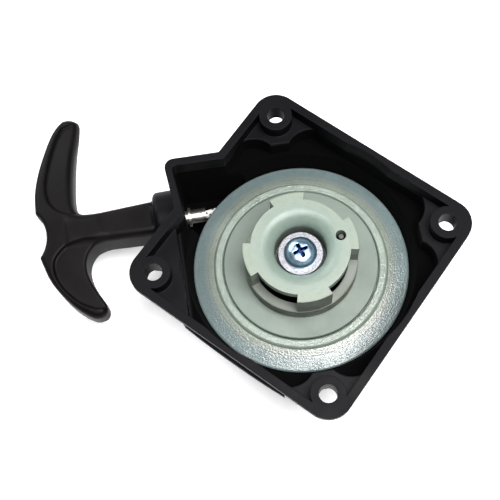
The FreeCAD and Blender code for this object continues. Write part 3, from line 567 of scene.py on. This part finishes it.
def add_rope_run(woven):
    """Rope from the guide to the knot in the handle, which stretches with the pull."""
    xs = np.linspace(RUN_LOW[0], RUN_HIGH[0] - RUN_SHORTER, RUN_RINGS)
    points, faces = tube([(x, ROPE_Y, ROPE_Z) for x in xs], RUN_R, sides=32)
    run = make_piece("rope_run_cord", points, faces, [woven])
    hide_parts("rope_run")
    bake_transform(run)


def add_wound_rope(fibre):
    """Two layers of turns, from over the knot to under the lead, pressed narrow in the reel's groove."""
    knot_x, knot_y, _ = (REEL_KNOT_LOW + REEL_KNOT_HIGH) / 2
    start = math.atan2(knot_y, knot_x)
    turns = PULLED_TURNS + (math.pi / 2 - start) / (2 * math.pi) % 1
    t = np.linspace(0, 1, int(turns * POINTS_PER_TURN))
    climb = np.clip((t - 0.5) * turns / LAYER_CLIMB_TURNS + 0.5, 0, 1)
    climb = climb * climb * (3 - 2 * climb)
    inner_r, outer_r = DRUM_R + ROPE_R, COIL_HIGH[0] - ROPE_R
    radius = inner_r + (outer_r - inner_r) * climb
    angle = start + 2 * math.pi * turns * t
    height = ROPE_R * (1 + turns * np.abs(2 * t - 1))
    path = np.stack([radius * np.cos(angle), radius * np.sin(angle), height], 1)
    points, faces = tube(path, WOUND_R, sides=14)
    squeeze = (COIL_HIGH[2] - COIL_LOW[2]) / (ROPE_R * (turns + 2))
    points[:, 2] = COIL_LOW[2] + points[:, 2] * squeeze
    coil = make_piece("rope_coil_turns", points, faces, [fibre])
    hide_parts("rope_coil")
    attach(coil, "reel")


def add_knot(name, node, body, low, high, fibre):
    """Tight knot inside its CAD box: a trefoil ring whose two ends overlap."""
    t = np.linspace(0, 2 * math.pi, 121)[:-1]
    loop = np.stack([np.sin(t) + 2 * np.sin(2 * t), np.cos(t) - 2 * np.cos(2 * t), -np.sin(3 * t)], 1)
    outer_radius = 3            # of the trefoil before it is scaled
    tallness = 1.6
    loop *= np.array((1, 1, tallness)) * ((high - low).min() / 2 - KNOT_ROPE_R) / outer_radius
    path = (low + high) / 2 + np.concatenate([loop, loop[:2]])
    points, faces = tube(path, KNOT_ROPE_R, sides=12)
    knot = make_piece(name, np.clip(points, low, high), faces, [fibre])
    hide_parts(node)
    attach(knot, body)


# ---- stage, light and camera -----------------------------------------------------------------
def add_camera():
    """Camera looking steeply down into the open side, from over the -Y side."""
    data = bpy.data.cameras.new("camera")
    data.lens = CAMERA_LENS
    data.sensor_width = SENSOR_WIDTH
    data.clip_start = 0.01
    camera = bpy.data.objects.new("camera", data)
    bpy.context.scene.collection.objects.link(camera)
    camera.location = CAMERA_PLACE
    camera.rotation_euler = [math.radians(angle) for angle in CAMERA_TURN_DEG]
    bpy.context.scene.camera = camera


def add_floor():
    """Plain white floor under the housing's flat back, faintly glowing so that it stays white far out."""
    reach = 3.0
    level = CAD_BOX[0].z
    mesh = bpy.data.meshes.new("floor")
    corners = [(-reach, -reach, level), (reach, -reach, level), (reach, reach, level), (-reach, reach, level)]
    mesh.from_pydata(corners, [], [(0, 1, 2, 3)])
    floor = bpy.data.objects.new("floor", mesh)
    bpy.context.scene.collection.objects.link(floor)
    material = bpy.data.materials.new("floor_white")
    material.use_nodes = True
    sockets = material.node_tree.nodes["Principled BSDF"].inputs
    for name, value in {"Base Color": (0.93, 0.93, 0.93, 1), "Roughness": 0.9, "Specular IOR Level": 0.1,
                        "Emission Color": (1, 1, 1, 1), "Emission Strength": 0.3}.items():
        sockets[name].default_value = value
    mesh.materials.append(material)


def area_light(name, place, target, size, power, colour):
    """Soft square light aimed at a point."""
    data = bpy.data.lights.new(name, "AREA")
    data.size = size
    data.energy = power
    data.color = colour
    light = bpy.data.objects.new(name, data)
    bpy.context.scene.collection.objects.link(light)
    light.location = place
    direction = Vector(target) - Vector(place)
    light.rotation_euler = direction.to_track_quat("-Z", "Y").to_euler()


def add_lights():
    """Softbox overhead, a weaker one at -X and +Y, and a pale bluish surround that darkens upwards."""
    world = bpy.data.worlds.new("studio")
    world.use_nodes = True
    tree = world.node_tree
    background = tree.nodes["Background"]
    coords = tree.nodes.new("ShaderNodeTexCoord")
    split = tree.nodes.new("ShaderNodeSeparateXYZ")
    ramp = tree.nodes.new("ShaderNodeValToRGB")
    tree.links.new(coords.outputs["Generated"], split.inputs["Vector"])
    tree.links.new(split.outputs["Z"], ramp.inputs["Fac"])
    tree.links.new(ramp.outputs["Color"], background.inputs["Color"])
    ramp.color_ramp.elements[0].position = 0.15
    ramp.color_ramp.elements[0].color = (0.46, 0.51, 0.60, 1)
    ramp.color_ramp.elements[1].position = 0.75
    ramp.color_ramp.elements[1].color = (0.20, 0.21, 0.24, 1)
    background.inputs["Strength"].default_value = 0.36
    bpy.context.scene.world = world
    target = (0, 0, -0.02)
    area_light("softbox_overhead", (0.13, -0.12, 0.75), target, size=0.46, power=12.0,
               colour=(1.0, 0.99, 0.98))
    area_light("softbox_left", (-0.42, 0.62, 0.5), target, size=0.5, power=6.0, colour=(0.97, 0.98, 1.0))
    bpy.context.scene.view_settings.view_transform = "Standard"


# ---- node helpers ----------------------------------------------------------------------------
class Shader:
    """A Principled material and the few nodes that these finishes are made of."""

    def __init__(self, name):
        self.material = bpy.data.materials.new(name)
        self.material.use_nodes = True
        self.tree = self.material.node_tree
        self.bsdf = self.tree.nodes["Principled BSDF"]
        self.coords = self.tree.nodes.new("ShaderNodeTexCoord").outputs["Object"]

    def set(self, **values):
        """Sets sockets of the Principled shader; underscores stand for spaces."""
        for socket, value in values.items():
            self.bsdf.inputs[socket.replace("_", " ")].default_value = value
        return self

    def link(self, source, socket):
        """Joins a node's output to a socket of the Principled shader."""
        self.tree.links.new(source, self.bsdf.inputs[socket])
        return self

    def node(self, kind, inputs=(), **settings):
        """New node with its settings and its inputs, which are values or other nodes' outputs."""
        node = self.tree.nodes.new("ShaderNode" + kind)
        for key, value in settings.items():
            setattr(node, key, value)
        for key, value in dict(inputs).items():
            if isinstance(value, bpy.types.NodeSocket):
                self.tree.links.new(value, node.inputs[key])
            else:
                node.inputs[key].default_value = value
        return node

    def noise(self, size_mm, detail=3.0, roughness=0.5, stretch=(1, 1, 1)):
        """Noise whose features are about the given size."""
        place = self.node("Mapping", {"Vector": self.coords, "Scale": stretch})
        inputs = {"Vector": place.outputs["Vector"], "Scale": 1000.0 / size_mm, "Detail": detail,
                  "Roughness": roughness}
        return self.node("TexNoise", inputs).outputs["Fac"]

    def ramp(self, fac, stops):
        """Colour ramp from (position, colour) stops; a number stands for a grey."""
        node = self.node("ValToRGB", {"Fac": fac})
        ramp = node.color_ramp
        while len(ramp.elements) < len(stops):
            ramp.elements.new(0.5)
        for element, (position, colour) in zip(ramp.elements, stops):
            element.position = position
            grey = isinstance(colour, (int, float))
            element.color = (colour, colour, colour, 1) if grey else (*colour, 1)
        return node.outputs["Color"]

    def spread(self, fac, low, high, start=0.3, end=0.7):
        """Maps a noise value from start..end to low..high."""
        inputs = {"Value": fac, "From Min": start, "From Max": end, "To Min": low, "To Max": high}
        return self.node("MapRange", inputs).outputs["Result"]

    def math(self, operation, first, second=0.0):
        """Sum, product or other function of numbers or outputs."""
        return self.node("Math", {0: first, 1: second}, operation=operation).outputs["Value"]

    def mix(self, fac, first, second):
        """Colour mix of two colours or sockets."""
        node = self.node("Mix", {"Factor": fac}, data_type="RGBA")
        for index, value in ((6, first), (7, second)):
            if isinstance(value, bpy.types.NodeSocket):
                self.tree.links.new(value, node.inputs[index])
            else:
                node.inputs[index].default_value = (*value, 1)
        return node.outputs[2]

    def rounded(self, radius_mm):
        """Normal that rounds every edge over a radius."""
        return self.node("Bevel", {"Radius": radius_mm * MM}, samples=6).outputs["Normal"]

    def edges(self, rounded):
        """0 on open surface, rising to 1 on edges, where the rounded normal leaves the surface's own."""
        flat = self.node("NewGeometry").outputs["Normal"]
        alike = self.node("VectorMath", {0: rounded, 1: flat}, operation="DOT_PRODUCT").outputs["Value"]
        return self.spread(alike, 1.0, 0.0, 0.86, 0.998)

    def around(self, centre_y, centre_z):
        """Angle about a line along X."""
        parts = self.node("SeparateXYZ", {0: self.coords}).outputs
        return self.math("ARCTAN2", self.math("SUBTRACT", parts["Y"], centre_y),
                         self.math("SUBTRACT", parts["Z"], centre_z))

    def bump(self, height, depth_mm, normal=None):
        """Relief of the given depth, on a normal of its own if there is one."""
        inputs = {"Height": height, "Strength": 1.0, "Distance": depth_mm * MM}
        if normal is not None:
            inputs["Normal"] = normal
        self.link(self.node("Bump", inputs).outputs["Normal"], "Normal")
        return self


def scaled(colour, factor):
    """Lighter or darker colour, with no channel over 1."""
    return [min(1.0, factor * c) for c in colour]


# ---- materials; places are in millimetres ----------------------------------------------------
DEPTH_SHADE = (0.62, 0.58, 0.60)    # factor on the colour low down: painted shade
WEB_Z = -5.1                    # just under the housing's corner webs
BOWL_SIDE_X = -38.0             # the outlet's boss lies beyond this
MATT_SHADE_DEPTH = 1.5                # depth over which the matt finish and the painted shade set in


def bowl_shade_mask(s):
    """Where the bowl gets painted shade and a matt finish: 1 on surfaces under the corner webs that face
    the open side or the axis, 0 elsewhere.
    """
    place = s.node("SeparateXYZ", {0: s.coords}).outputs
    normal = s.node("NewGeometry").outputs["Normal"]
    level = s.node("CombineXYZ", {"X": place["X"], "Y": place["Y"]}).outputs["Vector"]
    away = s.node("VectorMath", {0: level}, operation="NORMALIZE").outputs["Vector"]
    outward = s.node("VectorMath", {0: normal, 1: away}, operation="DOT_PRODUCT").outputs["Value"]
    upward = s.node("SeparateXYZ", {0: normal}).outputs["Z"]
    facing = s.spread(s.math("SUBTRACT", upward, outward), 0.0, 1.0, 0.1, 0.5)
    sunk = s.spread(place["Z"], 0.0, 1.0, WEB_Z * MM, (WEB_Z - MATT_SHADE_DEPTH) * MM)
    beside = s.spread(place["X"], 0.0, 1.0, BOWL_SIDE_X * MM, (BOWL_SIDE_X + MATT_SHADE_DEPTH) * MM)
    return s.math("MULTIPLY", s.math("MULTIPLY", sunk, beside), facing)


def black_nylon(name, tint, grain_mm, rough_low, rough_high, sheen, matt_shaded_inside=False):
    """Black moulded nylon: fine spark-eroded grain, faint flow marks, and edges slightly paler, partly wear
    and partly a painted highlight.

    With the last flag set, the inside of the bowl is matt and darker; the darkening is painted shade."""
    s = Shader(name)
    rounded = s.rounded(0.45)
    edge = s.edges(rounded)
    cloud = s.noise(14.0, 4.0)
    body = s.ramp(cloud, [(0.3, scaled(tint, 0.6)), (0.7, tint)])
    # paler edges: partly wear, partly a painted highlight where edges catch the light
    worn_and_lit_edges = s.math("MULTIPLY", edge, s.spread(s.noise(1.6, 5.0), 0.25, 0.9))
    colour = s.mix(worn_and_lit_edges, body, scaled(tint, 4.5))
    grain = s.noise(grain_mm, 2.0, 0.6)
    uneven = s.math("ADD", cloud, s.math("MULTIPLY", grain, 0.35))
    roughness = s.spread(uneven, rough_low, rough_high, 0.45, 0.85)
    if matt_shaded_inside:
        # inside the bowl: painted shade darkens the colour, and the finish goes matt
        inside = bowl_shade_mask(s)
        colour = s.mix(inside, colour, scaled(tint, 0.15))
        roughness = s.math("MAXIMUM", roughness, inside)
    s.link(colour, "Base Color")
    s.link(roughness, "Roughness")
    s.bump(grain, 0.02, rounded)
    return s.set(Specular_IOR_Level=sheen).material


def natural_nylon(name, tint, bands, speckle_mm, speckle_depth_mm, rough_low, rough_high, shade_below=None):
    """Milky green-white nylon: tint by distance from the axis, fine speckle and faint turning marks.

    bands are (radius in millimetres, colour factor) stops from the axis outwards, the cam's darkest ones
    painted shade; the last argument is a height in millimetres under which the colour is darker, painted
    shade."""
    s = Shader(name)
    rounded = s.rounded(0.3)
    edge = s.edges(rounded)
    parts = s.node("SeparateXYZ", {0: s.coords}).outputs
    flat = s.node("CombineXYZ", {"X": parts["X"], "Y": parts["Y"]}).outputs["Vector"]
    radius = s.node("VectorMath", {0: flat}, operation="LENGTH").outputs["Value"]
    outermost = bands[-1][0]
    stops = [(r / outermost, [t * f for t, f in zip(tint, factor)]) for r, factor in bands]
    banded = s.ramp(s.math("DIVIDE", radius, outermost * MM), stops)
    if shade_below is not None:
        # under the given height the colour is darker: painted shade
        below = s.spread(parts["Z"], 0.0, 1.0, shade_below * MM, (shade_below - 1.0) * MM)
        deep_shaded = s.node("Mix", {"Factor": below, 6: banded, 7: (*DEPTH_SHADE, 1)}, data_type="RGBA",
                        blend_type="MULTIPLY")
        banded = deep_shaded.outputs[2]
    cloud = s.noise(7.0, 4.0, 0.55)
    rings_per_metre = 2400.0
    spaced = s.math("MULTIPLY", radius, rings_per_metre)
    rings = s.node("TexNoise", {"W": spaced, "Scale": 1.0, "Detail": 3.0},
                   noise_dimensions="1D").outputs["Fac"]
    patchy = s.noise(1.8, 4.0, 0.6, (1.0, 1.0, 0.4))
    dirt = s.math("MULTIPLY", s.spread(rings, 0.0, 1.0, 0.45, 0.7), s.spread(patchy, 0.0, 0.6, 0.42, 0.62))
    shaded = s.mix(s.spread(cloud, 0.3, 0.0), banded, scaled(tint, 0.75))
    shaded = s.mix(dirt, shaded, scaled(tint, 0.6))
    # paler edges: painted highlight
    s.link(s.mix(s.math("MULTIPLY", edge, 0.35), shaded, scaled(tint, 1.4)), "Base Color")
    speckle = s.noise(speckle_mm, 2.0, 0.65)
    s.link(s.spread(s.math("ADD", cloud, speckle), rough_low, rough_high, 0.75, 1.25), "Roughness")
    s.bump(s.math("ADD", speckle, s.math("MULTIPLY", rings, 0.35)), speckle_depth_mm, rounded)
    s.set(Subsurface_Weight=0.25, Subsurface_Scale=0.0025, Subsurface_Radius=(1.0, 1.0, 0.9), IOR=1.53)
    return s.set(Specular_IOR_Level=0.75).material


def plated(name, tint, rough_low, rough_high, speckle_mm, depth_mm=0.012, dark=0.8):
    """Plated or bare metal with a fine crystalline speckle."""
    s = Shader(name)
    rounded = s.rounded(0.12)
    speckle = s.noise(speckle_mm, 4.0, 0.6)
    s.link(s.ramp(speckle, [(0.35, scaled(tint, dark)), (0.65, tint)]), "Base Color")
    s.link(s.spread(speckle, rough_low, rough_high), "Roughness")
    s.bump(speckle, depth_mm, rounded)
    return s.set(Metallic=1.0).material


def yarn(name, tint, strand_mm=0.16):
    """Polyester filaments: soft sheen, fine fibres and a little soiling."""
    s = Shader(name)
    fibre = s.noise(strand_mm, 3.0, 0.6, (0.35, 1.0, 1.0))
    soil = s.noise(2.5, 3.0, 0.6)
    base = s.ramp(soil, [(0.35, scaled(tint, 0.72)), (0.55, tint)])
    s.link(s.mix(s.spread(fibre, 0.0, 0.45), base, scaled(tint, 0.55)), "Base Color")
    s.link(s.spread(fibre, 0.5, 0.75), "Roughness")
    s.bump(fibre, 0.05)
    return s.set(Sheen_Weight=0.3, Sheen_Roughness=0.4).material


def woven_yarn(name, tint, dark):
    """The same rope where it stretches with the pull: its braid is a pattern of fixed size in space."""
    s = Shader(name)
    parts = s.node("SeparateXYZ", {0: s.coords}).outputs
    turn = s.around(ROPE_Y * MM, ROPE_Z * MM)
    along = s.math("MULTIPLY", parts["X"], 2 * math.pi / (BRAID_PITCH * MM))
    one_way = s.math("COSINE", s.math("MULTIPLY", s.math("ADD", turn, along), STRANDS / 2))
    other = s.math("COSINE", s.math("MULTIPLY", s.math("SUBTRACT", turn, along), STRANDS / 2))
    lattice = s.math("MULTIPLY", one_way, other)
    tracer_edge = 0.82          # cosine at the dark strand's edge
    tracer = s.math("GREATER_THAN", s.math("COSINE", s.math("ADD", turn, along)), tracer_edge)
    on_top = s.math("MULTIPLY", tracer, s.math("GREATER_THAN", lattice, 0.0))
    fibre = s.noise(0.2, 3.0, 0.6)
    # darker where the strands dip under one another: painted shade between strands
    base = s.ramp(lattice, [(0.0, scaled(tint, 0.6)), (0.5, tint)])
    s.link(s.mix(on_top, base, dark), "Base Color")
    s.link(s.spread(fibre, 0.5, 0.75), "Roughness")
    s.bump(s.math("ADD", lattice, s.math("MULTIPLY", fibre, 0.3)), 0.12)
    return s.set(Sheen_Weight=0.3, Sheen_Roughness=0.4).material


def dress(node, material):
    """Gives a CAD node's surface one material."""
    mesh = NODES[node].data
    mesh.materials.clear()
    mesh.materials.append(material)


add_camera()
add_floor()
add_lights()

ROPE_TINT = (0.78, 0.78, 0.76)
TRACER_TINT = (0.04, 0.04, 0.05)
BLACK_SHEEN = 0.085
HOUSING_BLACK = black_nylon("housing_nylon", (0.0034, 0.0029, 0.0042), grain_mm=0.5, rough_low=0.38,
                            rough_high=0.58, sheen=BLACK_SHEEN, matt_shaded_inside=True)
HANDLE_BLACK = black_nylon("handle_nylon", (0.0046, 0.0037, 0.0041), grain_mm=0.35, rough_low=0.38,
                           rough_high=0.52, sheen=BLACK_SHEEN)
REEL_NYLON = natural_nylon("reel_nylon", (0.150, 0.190, 0.182),
                           [(20.0, (1.3, 1.25, 1.1)), (27.6, (1.5, 1.45, 1.25)), (28.6, (1.45, 1.3, 1.1)),
                            (30.2, (1.2, 1.08, 1.0)), (32.0, (0.88, 0.94, 1.0)), (36.0, (0.95, 1.0, 1.05))],
                           speckle_mm=0.62, speckle_depth_mm=0.17, rough_low=0.09, rough_high=0.18)
# the cam's darkest bands are painted shade: inside 8.3 mm down the throat, around 18 mm on the lugs' side
# walls
CAM_NYLON = natural_nylon("cam_nylon", (0.225, 0.275, 0.22),
                          [(7.9, (0.3, 0.3, 0.28)), (8.3, (0.95, 1.0, 1.0)), (10.0, (0.84, 0.92, 0.98)),
                           (12.5, (0.84, 0.90, 0.94)), (15.2, (0.94, 0.95, 0.96)), (17.7, (0.92, 0.92, 0.90)),
                           (17.95, (0.26, 0.27, 0.17)), (18.2, (0.3, 0.3, 0.2)), (18.6, (0.78, 0.93, 0.90)),
                           (26.0, (0.76, 0.93, 0.92))],
                          speckle_mm=0.5, speckle_depth_mm=0.02, rough_low=0.38, rough_high=0.56,
                          shade_below=-3.6)
BRIGHT_ZINC = plated("bright_zinc", (0.41, 0.415, 0.45), 0.36, 0.52, 0.45, depth_mm=0.05, dark=0.4)
BLUE_ZINC = plated("blue_zinc", (0.42, 0.60, 0.78), 0.26, 0.34, 1.4, 0.001)
# dark navy zinc: painted shade inside the screw's cross recess
RECESS_SHADE_ZINC = plated("recess_painted_shade", (0.02, 0.04, 0.13), 0.3, 0.45, 0.6)
GUIDE_STEEL = plated("guide_steel", (0.80, 0.76, 0.72), 0.30, 0.42, 1.2, 0.004)
SPRING_BLACK = plated("spring_black", (0.018, 0.018, 0.02), 0.35, 0.5, 0.8)
SPRING_BLUE = plated("spring_strip", (0.22, 0.24, 0.28), 0.2, 0.35, 1.5)
# dark cut end of the hook: painted shade in the hole in the cam's rim
SHADED_CUT_STEEL = plated("cut_steel_shaded", (0.11, 0.11, 0.105), 0.45, 0.6, 0.3, 0.05)
BRASS = plated("brass", (0.78, 0.57, 0.28), 0.2, 0.32, 0.5)
ROPE_WHITE = yarn("rope_white", ROPE_TINT)
ROPE_DARK = yarn("rope_tracer", TRACER_TINT)
ROPE_WOVEN = woven_yarn("rope_woven", ROPE_TINT, TRACER_TINT)

for node_name, finish in {
        "housing": HOUSING_BLACK, "reel": REEL_NYLON, "drive_cam": CAM_NYLON,
        "retaining_washer": BRIGHT_ZINC, "rope_guide": GUIDE_STEEL, "rewind_spring": SPRING_BLUE,
        "post_insert": BRASS, "knot_washer": BRIGHT_ZINC}.items():
    dress(node_name, finish)
add_handle(HANDLE_BLACK)
add_screw(BLUE_ZINC, RECESS_SHADE_ZINC)
add_assist_spring(SPRING_BLACK, SHADED_CUT_STEEL)
add_rope_lead(ROPE_WHITE, ROPE_DARK)
add_rope_run(ROPE_WOVEN)
add_wound_rope(ROPE_WHITE)
add_knot("reel_knot_tied", "reel_knot", "reel", REEL_KNOT_LOW, REEL_KNOT_HIGH, ROPE_WHITE)
add_knot("handle_knot_tied", "handle_knot", "handle", HANDLE_KNOT_LOW, HANDLE_KNOT_HIGH, ROPE_WHITE)
